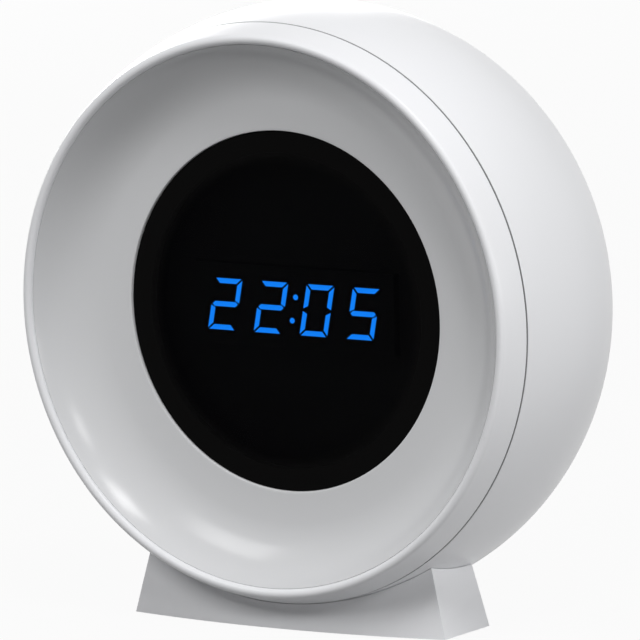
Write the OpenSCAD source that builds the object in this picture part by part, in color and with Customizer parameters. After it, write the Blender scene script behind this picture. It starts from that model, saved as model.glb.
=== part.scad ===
// Night light clock: a ball-shaped housing with a lit dish, a dark round display and a low cradle stand.
// Millimetres. +Z is up, the display faces -Y, and the origin is the middle of the footprint on the table.
// Inside the ball, depth is measured backwards from the front of the lip.

/* [Ball] */
// Largest radius of the ball
ball_r = 60; // [58:0.5:63]
// Depth of the largest circle behind the lip
equator_d = 22.6; // [21.6:0.2:24]
// Radius of the rounded rear shoulder, in section
shoulder_r = 43; // [41:0.5:45]
// Depth of the whole ball, lip to rear rim
body_depth = 50; // [49:0.5:52]
// Wall of the rear housing
wall = 2; // [1.6:0.1:2.4]
// Radius of the rounded rear rim
rim_r = 1.2; // [0.8:0.1:1.5]
// Radius of the rounded lip
lip_r = 1.05; // [0.8:0.05:1.2]
// Depth of the seam between bezel and housing
seam_d = 6.1; // [5.8:0.1:6.5]
// Width of the seam
seam_gap = 0.35; // [0.2:0.05:0.5]
// Clearance of the bezel's spigot inside the housing
spigot_gap = 0.2; // [0.1:0.05:0.3]

/* [Dish] */
// Width of the dish from the lip to the display
dish_w = 17.9; // [17.4:0.1:18.4]
// Wall of the dish
dish_wall = 1.8; // [1.5:0.1:2.1]
// Depth of the dish's outer edge
dish_rim_d = 0.9; // [0.7:0.1:1.2]
// Slope of the dish at the display, in degrees
dish_inner_slope = 2; // [1:0.5:4]
// Slope of the dish where its two curves meet
dish_mid_slope = 7; // [5:0.5:9]
// Slope of the dish at the lip
dish_rim_slope = 60; // [56:1:64]
// Crease where the two curves meet, in degrees
dish_crease = 1; // [0.8:0.1:1.4]
// Width of the dish's rear skirt
dish_skirt_w = 1.8; // [1.4:0.1:2.2]
// Depth of the skirt's rear end
dish_back_d = 6.6; // [6.4:0.1:7]
// Ring in the bezel that carries the skirt
dish_ledge_t = 1.8; // [1.4:0.1:2]
// Space behind the dish in the bezel's screw bosses
dish_relief = 0.8; // [0.6:0.1:1]
// Clearance between dish and bezel
dish_gap = 0.12; // [0.08:0.02:0.2]

/* [Display] */
// Thickness of the lens
lens_t = 2; // [1.6:0.1:2.4]
// Depth of the lens face
lens_d = 9.6; // [9.3:0.1:10]
// Step from the dish down to the lens face
lens_recess = 0.45; // [0.3:0.05:0.6]
// Edge chamfer of the lens
lens_chamfer = 0.25; // [0.15:0.05:0.4]
// Clearance round the lens
lens_gap = 0.1; // [0.05:0.05:0.2]
// Width of the ledge under the lens
lens_ledge_w = 2.2; // [1.6:0.1:3]
// Thickness of the ledge and wall of the collar round the lens
lens_ledge_t = 1.2; // [1:0.1:1.4]
// Gap from the back of the lens to the display face
display_set = 1.2; // [1:0.1:1.6]
// Height of a digit
digit_h = 10.3; // [9:0.1:11]
// Width of a digit
digit_w = 6.4; // [5.6:0.1:6.8]
// Spacing of the digits
digit_pitch = 10.7; // [10:0.1:11.4]
// Lean of the digits, in degrees
digit_lean = 11; // [6:1:14]
// Width of a segment
segment_w = 1; // [0.8:0.05:1.2]
// Set-back of a segment's ends from the corners
segment_set = 0.3; // [0.2:0.05:0.4]
// Depth of a segment's light well
segment_t = 1; // [0.8:0.1:1.4]
// Radius of a colon dot
colon_r = 0.55; // [0.4:0.05:0.7]
// Height of a colon dot above the middle
colon_rise = 2.35; // [2:0.05:2.8]
// Height of the lit segments above the display face
segment_proud = 0.05; // [0.03:0.01:0.1]
// Border of the display module round its digits
module_border = 3; // [2:0.5:4]

/* [Inner frame and boards] */
// Depth of the frame's front face
frame_d = 14.2; // [14:0.1:15]
// Thickness of the frame
frame_t = 2; // [1.6:0.1:2.6]
// Clearance of the frame round the display module
window_gap = 0.3; // [0.2:0.05:0.4]
// Radius of the screw bosses
boss_r = 3; // [2.6:0.1:3.2]
// Length of the housing's front bosses
boss_len = 8; // [6:0.5:10]
// Thickness of the circuit boards
board_t = 1.6; // [1.2:0.1:2]
// Clearance of the light ring board to the lens collar and to the bezel's bosses
ring_gap = 1.6; // [1.2:0.1:2.2]
// Number of lamps on the ring board
lamp_count = 12; // [6:1:16]
// Side of a lamp
lamp_w = 2.8; // [2.4:0.1:3.6]
// Height of a lamp
lamp_t = 0.8; // [0.6:0.1:1.2]
// Distance of the lamps from the ring board's outer edge
lamp_margin = 0.5; // [0.4:0.1:1]
// Height of the display board's standoffs
standoff_h = 2.4; // [2:0.1:3.4]
// Radius of the standoffs
standoff_r = 2.4; // [2.2:0.1:2.8]
// Distance of the standoffs from the display board's edge
standoff_margin = 0.4; // [0.3:0.1:0.8]
// Margin of the display board round the module, sideways
board_side = 8; // [7:0.5:10]
// Margin of the display board above and below the module
board_edge = 6; // [5:0.5:8]
// Width of the ribbon cable
ribbon_w = 12; // [8:1:16]
// Thickness of the ribbon cable
ribbon_t = 0.8; // [0.6:0.1:1]
// Step of the ribbon cable between its sockets
ribbon_rise = 4; // [2:0.5:6]
// Height of the ribbon's sockets
socket_h = 4; // [3:0.5:4.5]
// Thickness of the sockets
socket_t = 5; // [4:0.5:6]
// Height of the display board's socket above the ball's axis
socket_rise = -8; // [-10:0.5:-6]

/* [Rear panel] */
// Step from the rear rim to the panel
panel_recess = 1; // [0.8:0.1:1.2]
// Thickness of the panel
panel_t = 2; // [1.8:0.1:2.4]
// Width of the housing's rim round the panel
panel_rim_w = 3; // [2.4:0.1:3.4]
// Clearance round the panel
panel_gap = 0.18; // [0.1:0.02:0.3]
// Overlap of the ledge under the panel
panel_ledge_w = 2.4; // [1.8:0.1:3]
// Thickness of the ledge
panel_ledge_t = 1.8; // [1.4:0.1:2.4]
// Distance of the panel screws from the panel's edge
panel_screw_inset = 3.6; // [3.2:0.1:4]
// Length of the panel screws' bosses
panel_boss_len = 9; // [8:0.5:11]
// Length of the posts between panel and control board
post_h = 7; // [6.8:0.1:7.6]
// Radius of the posts
post_r = 2.4; // [2.2:0.1:2.6]
// Clearance of the control board inside the panel bosses
control_gap = 1; // [0.8:0.1:1.4]
// Distance of the posts from the control board's edge
post_inset = 5.5; // [4.5:0.1:6.5]
// Radius of a sound hole
sound_r = 0.7; // [0.5:0.05:0.9]
// Spacing of the sound holes
sound_pitch = 2.6; // [2.2:0.1:3]
// Radius of the buzzer
buzzer_r = 6; // [5:0.2:6.4]
// Gap from the buzzer to the panel
buzzer_gap = 0.4; // [0.3:0.1:0.8]
// Place of the buzzer to the right of the middle
buzzer_x = 17; // [16:0.5:18]
// Height of the buzzer above the ball's axis
buzzer_rise = -13; // [-14:0.5:-12]

/* [Buttons] */
// Radius of a button cap
button_r = 4; // [3.4:0.1:4.4]
// Height of a cap above the panel
button_proud = 0.8; // [0.7:0.05:0.8]
// Edge chamfer of a cap
button_chamfer = 0.3; // [0.2:0.05:0.4]
// Travel of a button
button_travel = 0.6; // [0.4:0.05:0.6]
// Clearance round a cap
button_gap = 0.25; // [0.2:0.05:0.35]
// Width of a button's retaining flange
button_flange = 1; // [0.8:0.1:1.2]
// Thickness of the flange
button_flange_t = 1; // [0.8:0.1:1.2]
// Clearance between the flange and the panel
button_seat = 0.1; // [0.05:0.05:0.2]
// Spacing of the buttons
button_pitch = 14; // [12.5:0.5:14.5]
// Height of the button row above the ball's axis
button_rise = 18; // [17:0.5:19]
// Side of a push switch
tact_w = 6; // [5:0.2:6.4]
// Height of a push switch's body
tact_h = 3.4; // [3:0.1:3.6]
// Radius of a push switch's plunger
plunger_r = 1.75; // [1.4:0.05:2]
// Length of the plunger
plunger_h = 1.2; // [0.8:0.1:1.4]

/* [Slide switch] */
// Travel of the switch
slide_travel = 3; // [2:0.1:3.6]
// Side of the knob
knob_w = 3; // [2.6:0.1:3.4]
// Height of the knob above the panel
knob_proud = 0.7; // [0.5:0.05:0.8]
// Clearance of the knob and its plate
slide_gap = 0.2; // [0.15:0.05:0.3]
// Thickness of the knob's plate
knob_plate_t = 0.8; // [0.6:0.1:1]
// Width of the knob's plate
knob_plate_w = 5.4; // [5:0.2:6]
// Height of the switch body
slide_body_h = 4; // [3.4:0.1:4.4]
// Place of the switched-off knob to the right of the middle
slide_x = 20; // [19:0.5:21]
// Height of the switch above the ball's axis
slide_rise = 3; // [2:0.5:4]

/* [Cell door] */
// Radius of the coin cell
cell_r = 10; // [9.5:0.1:10.2]
// Thickness of the coin cell
cell_t = 3.2; // [2.5:0.1:3.2]
// Radius of the door
door_r = 12; // [11.8:0.1:12.6]
// Clearance round the door and its lugs
door_gap = 0.2; // [0.15:0.05:0.3]
// Step from the panel face to the door
door_step = 0.1; // [0.05:0.05:0.2]
// Thickness of the ring that the door turns on
door_ring_t = 1.4; // [1.2:0.1:1.6]
// Width of the door's turning ring under the door
door_ring_w = 1.6; // [1.4:0.1:1.8]
// Thickness of a bayonet lug
lug_t = 0.8; // [0.6:0.1:0.9]
// Angle that a lug spans
lug_span = 36; // [28:2:38]
// Angle that a lug's notch is wider than the lug
lug_play = 6; // [4:1:8]
// Angle that unlocks the door
door_turn = 45; // [45:1:50]
// Width of the coin slot
coin_slot_w = 1.8; // [1.4:0.1:2.2]
// Length of the coin slot
coin_slot_l = 14; // [10:0.5:16]
// Depth of the coin slot
coin_slot_t = 0.9; // [0.6:0.1:1.1]
// Wall of the cell pocket
pocket_wall = 1.6; // [1.4:0.1:1.8]
// Floor of the cell's cup
cup_base_t = 0.8; // [0.6:0.1:1]
// Clearance of the cell in its cup
cup_gap = 0.3; // [0.2:0.05:0.3]
// Place of the door to the right of the middle
door_x = -13; // [-14:0.5:-12]
// Height of the door above the ball's axis
door_rise = -5; // [-6:0.5:-4]

/* [Power inlet] */
// Width of the inlet's metal shell
inlet_w = 8.9; // [8.4:0.1:9.4]
// Height of the inlet's metal shell
inlet_h = 3.2; // [3:0.1:3.6]
// Wall of the shell
inlet_wall = 0.3; // [0.25:0.05:0.4]
// Thickness of the contact tongue
tongue_t = 0.7; // [0.6:0.05:0.8]
// Clearance of the panel round the shell
inlet_gap = 0.3; // [0.2:0.05:0.4]
// Step from the panel face to the mouth of the inlet
inlet_step = 0.3; // [0.2:0.1:0.6]
// Distance of the inlet from the control board's edge
inlet_inset = 9; // [8:0.1:10]

/* [Stand] */
// Gap between the ball and the table
ball_clear = 2.9; // [2.9:0.1:4]
// Half width of the stand at its foot
stand_half_w = 36.1; // [34:0.1:38]
// Depth of the front corners of the stand
stand_front_d = 8.2; // [7.6:0.1:9]
// Depth of the rear corners of the stand
stand_back_d = 24.8; // [24:0.1:27]
// Bulge of the front and rear faces
stand_bow = 3.6; // [2.6:0.1:4.4]
// Inward lean of the stand's ends, in degrees
stand_end_lean = 14.3; // [10:0.1:17]
// Inward lean of the front and rear faces
stand_face_lean = 7.5; // [5:0.1:10]
// Clearance between stand and ball
saddle_gap = 0.1; // [0.05:0.05:0.2]
// Distance of the stand screws from the middle
stand_screw_x = 24; // [23:0.5:25]
// Depth of the stand screws
stand_screw_d = 20.8; // [20.6:0.1:21.4]
// Height of the stand screws' bosses above the underside of the ball
stand_boss_top = 12; // [11:0.5:13]
// Radius of a foot pad
foot_r = 3; // [2.4:0.1:3.4]
// Thickness of a foot pad
foot_t = 1; // [0.8:0.1:1.4]
// Height of a foot pad below the stand
foot_proud = 0.4; // [0.3:0.1:0.6]
// Distance of the foot pads from the edges
foot_margin = 0.8; // [0.5:0.1:1.2]
// Distance of the rear foot pads from the middle
rear_foot_x = 16; // [14:0.5:17]

/* [Screws] */
// Radius of a screw's shank
screw_r = 1.15; // [1:0.05:1.25]
// Radius of a screw's head
screw_head_r = 2.2; // [2:0.05:2.3]
// Height of a screw's head
screw_head_h = 1.4; // [1.2:0.1:1.6]
// Depth of a screw's thread in its boss
screw_bite = 4.4; // [3.6:0.1:4.8]
// Clearance of a shank in the piece that it clamps
screw_gap = 0.35; // [0.25:0.05:0.45]
// Clearance of a shank in its boss
thread_gap = 0.05; // [0.03:0.01:0.1]

/* [Hidden] */
$fn = 96;

white_plastic = [0.93, 0.93, 0.945];
dish_plastic = [0.9, 0.9, 0.915];
stand_plastic = [0.86, 0.865, 0.875];
lens_black = [0.015, 0.015, 0.02];
module_black = [0.03, 0.03, 0.035];
lit_blue = [0.06, 0.5, 1];
board_green = [0.1, 0.32, 0.2];
inner_grey = [0.35, 0.36, 0.38];
steel = [0.72, 0.73, 0.75];
plate_metal = [0.1, 0.1, 0.11];
rubber_grey = [0.2, 0.2, 0.21];

axis_h = ball_r + ball_clear;
far = 2 * ball_r;

// Height by which a rounded edge stands out of the faces that it blends into
blend = 0.012;

// Lip: a round between the ball and the front plane
lip_c = sqrt(pow(ball_r - lip_r, 2) - pow(equator_d - lip_r, 2)) + blend;
lip_in = lip_c - lip_r;
lip_tangent_d = equator_d - (equator_d - lip_r) * ball_r / (ball_r - lip_r);
bezel_back_d = seam_d - seam_gap / 2;
housing_front_d = seam_d + seam_gap / 2;
spigot_r = front_r(housing_front_d, wall) - spigot_gap;
frame_boss_r = lip_in - boss_r + 0.6;
boss_angle = 45;
boss_shy = 0.05;
bezel_boss_d = dish_back_d + dish_ledge_t - 0.4;
boss_relief_d = dish_back_d + dish_ledge_t + dish_relief;

// Dish: two arcs with a faint crease between them, from the lens collar out to the lip
dish_r = lip_in - dish_gap;
dish_skirt_r = dish_r - dish_skirt_w;
collar_r = dish_r - dish_w;
lens_r = collar_r - lens_gap;
dish_edge_d = lens_d - lens_recess;
run_inner = sin(dish_mid_slope) - sin(dish_inner_slope);
run_edge = sin(dish_rim_slope) - sin(dish_mid_slope + dish_crease);
rise_inner = cos(dish_inner_slope) - cos(dish_mid_slope);
rise_edge = cos(dish_mid_slope + dish_crease) - cos(dish_rim_slope);
dish_rise = dish_edge_d - dish_rim_d;
arc_det = run_inner * rise_edge - run_edge * rise_inner;
inner_arc = (dish_w * rise_edge - run_edge * dish_rise) / arc_det;
edge_arc = (run_inner * dish_rise - rise_inner * dish_w) / arc_det;
inner_c = [collar_r - inner_arc * sin(dish_inner_slope), dish_edge_d - inner_arc * cos(dish_inner_slope)];
edge_c = [dish_r - edge_arc * sin(dish_rim_slope), dish_rim_d - edge_arc * cos(dish_rim_slope)];

// Display stack
lens_back_d = lens_d + lens_t;
lens_ledge_d = lens_back_d + lens_ledge_t;
lens_ledge_r = collar_r - lens_ledge_w;
ring_in_r = collar_r + lens_ledge_t + ring_gap;
ring_out_r = frame_boss_r - boss_r - ring_gap;
display_d = lens_back_d + display_set;
frame_back_d = frame_d + frame_t;
display_board_d = frame_back_d + standoff_h;
lean_x = tan(digit_lean);
module_w = 3 * digit_pitch + digit_w + digit_h * lean_x + 2 * module_border;
module_h = digit_h + 2 * module_border;
display_board_w = module_w + 2 * board_side;
display_board_h = module_h + 2 * board_edge;
standoff_x = display_board_w / 2 - standoff_r - standoff_margin;
standoff_z = display_board_h / 2 - standoff_r - standoff_margin;
// Segments of a digit in the order top, upper right, lower right, bottom, lower left, upper left, middle
shown = [[1, 1, 0, 1, 1, 0, 1], [1, 1, 0, 1, 1, 0, 1], [1, 1, 1, 1, 1, 1, 0], [1, 0, 1, 1, 0, 1, 1]];

// Rear panel and what it carries
shoulder_depth = body_depth - rim_r - equator_d;
rim_c = ball_r - shoulder_r + sqrt(pow(shoulder_r - rim_r, 2) - pow(shoulder_depth, 2)) + blend;
rim_tangent_d = equator_d + shoulder_depth * shoulder_r / (shoulder_r - rim_r);
rim_hole_r = rim_c - panel_rim_w;
panel_r = rim_hole_r - panel_gap;
panel_ledge_r = rim_hole_r - panel_ledge_w;
panel_d = body_depth - panel_recess - panel_t;
panel_face_d = panel_d + panel_t;
panel_screw_r = panel_r - panel_screw_inset;
panel_sink = screw_head_h - 0.5;
control_d = panel_d - post_h;
control_r = panel_screw_r - boss_r - control_gap;
post_ring_r = control_r - post_inset;
flange_d = panel_d - button_seat - button_flange_t;
cap_d = panel_face_d + button_proud;
stem_d = control_d + tact_h + plunger_h + button_travel + 0.1;
knob_plate_d = panel_d - slide_gap - knob_plate_t;
knob_slot_l = knob_w + slide_travel + 2 * slide_gap;
knob_plate_l = knob_w + slide_travel + 2;
door_seat_d = panel_d;
door_ring_d = door_seat_d - door_ring_t;
spigot_door_r = door_r - door_ring_w - door_gap;
lug_d = door_ring_d - door_gap - lug_t;
lug_r = door_r - door_gap;
notch_r = lug_r + door_gap;
pocket_r = door_r + 2 * door_gap;
inlet_rise = inlet_inset - control_r;

// Stand
bow_r = (pow(stand_half_w, 2) + pow(stand_bow, 2)) / (2 * stand_bow);
stand_top = 22;
front_foot_x = stand_half_w - 2 * foot_r - foot_margin;
front_foot_d = stand_front_d + foot_r + foot_margin;
rear_edge_d = stand_back_d + stand_bow - bow_r + sqrt(pow(bow_r, 2) - pow(rear_foot_x, 2));
rear_foot_d = rear_edge_d - foot_r - foot_margin;
stand_sink = screw_head_h + 0.5;
ribbon_start_d = display_board_d + board_t + socket_h;
ribbon_end_d = control_d - board_t - socket_h;
ribbon_run = (ribbon_end_d - ribbon_start_d - ribbon_rise) / 2;
control_socket_rise = socket_rise + ribbon_rise;

// Radius of the front sphere at a depth, with its surface moved inwards by t
function front_r(d, t) = sqrt(pow(ball_r - t, 2) - pow(equator_d - d, 2));

// Corner points of one segment of a digit, upright and centred on the digit
function top_segment() = let (w = digit_w / 2, h = digit_h / 2, s = segment_set, t = segment_w)
    [[s - w, h], [w - s, h], [w - s - t, h - t], [s - w + t, h - t]];
function upper_segment() = let (w = digit_w / 2, h = digit_h / 2, s = segment_set, t = segment_w)
    [[w, s], [w, h - s], [w - t, h - s - t], [w - t, s + t / 2]];
function middle_segment() = let (w = digit_w / 2 - segment_set, t = segment_w / 2)
    [[-w, 0], [t - w, t], [w - t, t], [w, 0], [w - t, -t], [t - w, -t]];
function flip(points, x, z) = [for (p = points) [p[0] * x, p[1] * z]];
function segment(i) = i == 0 ? top_segment()
                    : i == 1 ? upper_segment()
                    : i == 2 ? flip(upper_segment(), 1, -1)
                    : i == 3 ? flip(top_segment(), 1, -1)
                    : i == 4 ? flip(upper_segment(), -1, -1)
                    : i == 5 ? flip(upper_segment(), -1, 1)
                    : middle_segment();
// Leaning points, with the height turned to the downward axis of the ball's own frame
function leaning(points) = [for (p = points) [p[0] + p[1] * lean_x, -p[1]]];

// The ball's own frame: x to the right, y down, z backwards from the lip
module in_ball() {
    translate([0, -body_depth / 2, axis_h])
        rotate([-90, 0, 0])
            children();
}

// A place on the display or the rear panel: x to the right, rise upwards, d backwards
module place(x, rise, d) {
    translate([x, -rise, d])
        children();
}

module ring_of(count, r, start) {
    for (i = [0 : count - 1])
        rotate(start + i * 360 / count)
            translate([r, 0, 0])
                children();
}

module panel_corners() {
    ring_of(4, panel_screw_r, boss_angle)
        children();
}

module frame_corners() {
    ring_of(4, frame_boss_r, boss_angle)
        children();
}

// Half section of the ball, moved inwards by t
module ball_section(t) {
    intersection() {
        translate([0, equator_d])
            circle(ball_r - t);
        translate([0, equator_d - far])
            square([far, far]);
    }
    intersection() {
        translate([ball_r - shoulder_r, equator_d])
            circle(shoulder_r - t);
        translate([ball_r - shoulder_r, equator_d])
            square([far, far]);
    }
    translate([0, equator_d])
        square([ball_r - shoulder_r, shoulder_r - t]);
}

// Rectangle of a half section between two radii and two depths
module ring_section(r0, r1, d0, d1) {
    translate([r0, d0])
        square([r1 - r0, d1 - d0]);
}

// Slice of the dish's wall that follows an arc between two slopes
module arc_wall(centre, r, slope0, slope1) {
    intersection() {
        difference() {
            translate(centre)
                circle(r + dish_wall);
            translate(centre)
                circle(r);
        }
        translate(centre)
            polygon([[0, 0], far * [sin(slope0), cos(slope0)], far * [sin(slope1), cos(slope1)]]);
    }
}

// Slot with round ends
module stadium(w, h) {
    square([w - h, h], center = true);
    for (side = [-1, 1])
        translate([side * (w - h) / 2, 0])
            circle(h / 2);
}

// Screw that points to +z with the underside of its head at the origin
module screw(length) {
    difference() {
        translate([0, 0, -screw_head_h])
            cylinder(r = screw_head_r, h = screw_head_h);
        for (turn = [0, 90])
            rotate(turn)
                translate([-screw_r, -screw_r / 4, -screw_head_h - 0.1])
                    cube([2 * screw_r, screw_r / 2, screw_head_h / 2 + 0.1]);
    }
    cylinder(r = screw_r, h = length);
}

// Rounded front ring with the lip, the outer band, the dish seat and the screw bosses
module front_bezel() {
    color(white_plastic)
        in_ball()
            difference() {
                union() {
                    rotate_extrude()
                        union() {
                            translate([lip_c, lip_r])
                                circle(lip_r);
                            intersection() {
                                ball_section(0);
                                ring_section(lip_c, far, lip_tangent_d, bezel_back_d);
                            }
                            ring_section(lip_in + blend, spigot_r, lip_r, frame_d);
                            ring_section(dish_skirt_r, lip_c, dish_back_d, dish_back_d + dish_ledge_t);
                        }
                    frame_corners()
                        translate([0, 0, bezel_boss_d])
                            cylinder(r = boss_r, h = frame_d - boss_shy - bezel_boss_d);
                }
                frame_corners()
                    translate([0, 0, frame_d - screw_bite])
                        cylinder(r = screw_r + thread_gap, h = far);
                cylinder(r = dish_skirt_r - dish_relief, h = boss_relief_d);
            }
}

// Concave translucent dish that the lamps light from behind, with the collar and ledge for the lens
module light_bowl() {
    color(dish_plastic)
        in_ball()
            rotate_extrude()
                intersection() {
                    ring_section(0, dish_r, 0, far);
                    union() {
                        arc_wall(inner_c, inner_arc, dish_inner_slope, dish_mid_slope + dish_crease);
                        arc_wall(edge_c, edge_arc, dish_mid_slope - dish_crease / 2, dish_rim_slope);
                        difference() {
                            ring_section(dish_skirt_r, dish_r, dish_rim_d, dish_back_d);
                            translate(edge_c)
                                circle(edge_arc);
                        }
                        difference() {
                            ring_section(collar_r, collar_r + lens_ledge_t, dish_rim_d, lens_ledge_d);
                            translate(inner_c)
                                circle(inner_arc);
                        }
                        ring_section(lens_ledge_r, collar_r + lens_ledge_t, lens_back_d, lens_ledge_d);
                    }
                }
}

// Smoked round lens with a chamfered front edge
module display_lens() {
    color(lens_black)
        in_ball()
            translate([0, 0, lens_d]) {
                cylinder(r1 = lens_r - lens_chamfer, r2 = lens_r, h = lens_chamfer);
                translate([0, 0, lens_chamfer])
                    cylinder(r = lens_r, h = lens_t - lens_chamfer);
            }
}

// Outlines of the segments that are lit, or of those that are dark
module segment_outlines(lit) {
    for (i = [0 : 3])
        translate([(i - 1.5) * digit_pitch, 0])
            for (s = [0 : 6])
                if (shown[i][s] == lit)
                    polygon(leaning(segment(s)));
    if (lit == 1)
        for (side = [-1, 1])
            translate([side * colon_rise * lean_x, -side * colon_rise])
                circle(colon_r, $fn = 32);
}

// Block of the four digits, with a light well for each segment
module display_module() {
    color(module_black)
        in_ball()
            difference() {
                place(0, 0, (display_d + display_board_d) / 2)
                    cube([module_w, module_h, display_board_d - display_d], center = true);
                translate([0, 0, display_d])
                    linear_extrude(2 * segment_t, center = true) {
                        segment_outlines(1);
                        segment_outlines(0);
                    }
            }
}

// Light guides of the segments and colon dots that show the time
module lit_segments() {
    color(lit_blue)
        in_ball()
            translate([0, 0, display_d - segment_proud])
                linear_extrude(segment_t + segment_proud)
                    segment_outlines(1);
}

// Light guides of the segments that are off
module dark_segments() {
    color(module_black)
        in_ball()
            translate([0, 0, display_d])
                linear_extrude(segment_t)
                    segment_outlines(0);
}

module standoff_places() {
    for (x = [-1, 1], rise = [-1, 1])
        translate([x * standoff_x, rise * standoff_z, 0])
            children();
}

// Circuit board behind the digits
module display_board() {
    color(board_green)
        in_ball()
            translate([0, 0, display_board_d])
                difference() {
                    translate([-display_board_w / 2, -display_board_h / 2, 0])
                        cube([display_board_w, display_board_h, board_t]);
                    standoff_places()
                        translate([0, 0, -1])
                            cylinder(r = screw_r + screw_gap, h = board_t + 2);
                }
}

// Round metal plate, clamped between bezel and housing: carries the front boards and spreads the lamps' heat
module mid_frame() {
    color(plate_metal)
        in_ball()
            difference() {
                union() {
                    translate([0, 0, frame_d])
                        cylinder(r = spigot_r, h = frame_t);
                    translate([0, 0, frame_back_d])
                        standoff_places()
                            cylinder(r = standoff_r, h = standoff_h);
                }
                place(0, 0, frame_d)
                    cube([module_w + 2 * window_gap, module_h + 2 * window_gap, 3 * frame_t], center = true);
                frame_corners()
                    cylinder(r = screw_r + screw_gap, h = far);
                translate([0, 0, frame_d + 0.6])
                    standoff_places()
                        cylinder(r = screw_r + thread_gap, h = far);
            }
}

// Ring board behind the dish
module light_ring_board() {
    color(board_green)
        in_ball()
            rotate_extrude()
                ring_section(ring_in_r, ring_out_r, frame_d - board_t, frame_d);
}

// Lamps that shine forwards into the dish
module ring_lamps() {
    color("lightyellow")
        in_ball()
            ring_of(lamp_count, ring_out_r - lamp_margin - lamp_w / 2, 0)
                translate([-lamp_w / 2, -lamp_w / 2, frame_d - board_t - lamp_t])
                    cube([lamp_w, lamp_w, lamp_t]);
}

// Sockets of the ribbon cable on both boards
module ribbon_sockets() {
    color("ivory")
        in_ball() {
            place(0, socket_rise, ribbon_start_d - socket_h / 2)
                cube([ribbon_w + 2, socket_t, socket_h], center = true);
            place(0, control_socket_rise, ribbon_end_d + socket_h / 2)
                cube([ribbon_w + 2, socket_t, socket_h], center = true);
        }
}

// Flat cable, creased twice, that steps up from the display board to the control board
module ribbon_cable() {
    half = ribbon_t / 2;
    mitre = half * tan(22.5);
    color("lightgrey")
        in_ball()
            rotate([180, -90, 0])
                linear_extrude(ribbon_w, center = true)
                    translate([ribbon_start_d, socket_rise])
                        polygon([[0, -half], [ribbon_run + mitre, -half],
                                 [ribbon_run + ribbon_rise + mitre, ribbon_rise - half],
                                 [ribbon_end_d - ribbon_start_d, ribbon_rise - half],
                                 [ribbon_end_d - ribbon_start_d, ribbon_rise + half],
                                 [ribbon_run + ribbon_rise - mitre, ribbon_rise + half],
                                 [ribbon_run - mitre, half], [0, half]]);
}

module stand_boss_places() {
    for (side = [-1, 1])
        translate([side * stand_screw_x, 0, stand_screw_d])
            rotate([-90, 0, 0])
                children();
}

// Rear half of the ball: thin shell with the panel ledge and the inner bosses
module rear_housing() {
    color(white_plastic)
        in_ball()
            difference() {
                union() {
                    rotate_extrude()
                        union() {
                            intersection() {
                                difference() {
                                    ball_section(0);
                                    ball_section(wall);
                                }
                                ring_section(0, far, housing_front_d, rim_tangent_d);
                            }
                            translate([rim_c, body_depth - rim_r])
                                circle(rim_r);
                            ring_section(rim_hole_r, rim_c, panel_d, body_depth - blend);
                            intersection() {
                                ball_section(wall / 2);
                                union() {
                                    ring_section(rim_hole_r, far, panel_d, body_depth - rim_r);
                                    ring_section(panel_ledge_r, far, panel_d - panel_ledge_t, panel_d);
                                }
                            }
                        }
                    intersection() {
                        rotate_extrude()
                            ball_section(wall / 2);
                        union() {
                            frame_corners()
                                translate([0, 0, frame_back_d]) {
                                    cylinder(r = boss_r, h = boss_len);
                                    translate([0, -boss_r / 2, 0])
                                        cube([far, boss_r, boss_len]);
                                }
                            panel_corners()
                                translate([0, 0, panel_d - panel_boss_len]) {
                                    cylinder(r = boss_r, h = panel_boss_len);
                                    translate([0, -boss_r / 2, 0])
                                        cube([far, boss_r, panel_boss_len]);
                                }
                            stand_boss_places()
                                translate([0, 0, ball_r - stand_boss_top])
                                    cylinder(r = boss_r, h = far);
                        }
                    }
                }
                frame_corners()
                    translate([0, 0, frame_back_d - 1])
                        cylinder(r = screw_r + screw_gap, h = boss_len + 2);
                panel_corners()
                    translate([0, 0, panel_d - screw_bite - 1])
                        cylinder(r = screw_r + thread_gap, h = screw_bite + 2);
                stand_boss_places()
                    translate([0, 0, ball_r - stand_boss_top + 2])
                        cylinder(r = screw_r + thread_gap, h = far);
            }
}

module button_places() {
    for (i = [0 : 3])
        place((i - 1.5) * button_pitch, button_rise, 0)
            children();
}

module post_places() {
    for (turn = [-90, 60, 120])
        rotate(turn)
            translate([post_ring_r, 0, 0])
                children();
}

// Sector of a disc, from the +x side
module sector(r, span, h) {
    intersection() {
        cylinder(r = r, h = h);
        linear_extrude(h)
            polygon([[0, 0], far * [cos(span / 2), -sin(span / 2)], far * [cos(span / 2), sin(span / 2)]]);
    }
}

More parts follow.
